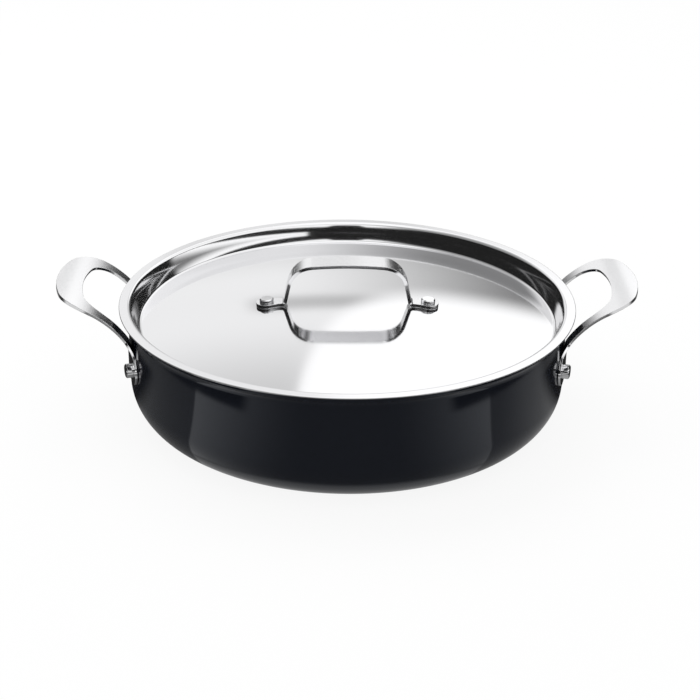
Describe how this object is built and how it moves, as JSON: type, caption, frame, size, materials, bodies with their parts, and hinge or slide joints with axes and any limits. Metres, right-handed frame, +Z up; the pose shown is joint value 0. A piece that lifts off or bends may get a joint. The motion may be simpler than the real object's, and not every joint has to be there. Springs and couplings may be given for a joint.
{
  "type": "braiser",
  "caption": "Wide, low braiser with dark rounded sides, steel loop handles at both ends and a dished steel lid with an arched strap handle.",
  "frame": {"origin": "centre of the face the pan stands on", "axes": "+Z up; the two loop handles lie along X; the side seen in the picture faces -Y"},
  "size_m": [0.398, 0.314, 0.1106],
  "materials": {
    "dark_shell": "hard anodised, satin to glossy, very dark blue-grey",
    "lid_steel": "polished stainless steel",
    "handle_steel": "fine satin, edges polished",
    "base_steel": "turned, matt"
  },
  "bodies": {
    "pan": {"pan_body": "dark_shell", "base_disc": "base_steel", "side_handle_left": "handle_steel", "side_handle_right": "handle_steel", "handle_rivet_left_front": "handle_steel", "handle_rivet_left_back": "handle_steel", "handle_rivet_right_front": "handle_steel", "handle_rivet_right_back": "handle_steel"},
    "lid": {"lid_shell": "lid_steel", "lid_handle": "handle_steel", "lid_rivet_left": "handle_steel", "lid_rivet_right": "handle_steel"}
  },
  "joints": [
    {"name": "lid_lift", "type": "slide", "parent": "pan", "child": "lid", "axis": [0, 0, 1], "range_m": [0, 0.15]}
  ]
}
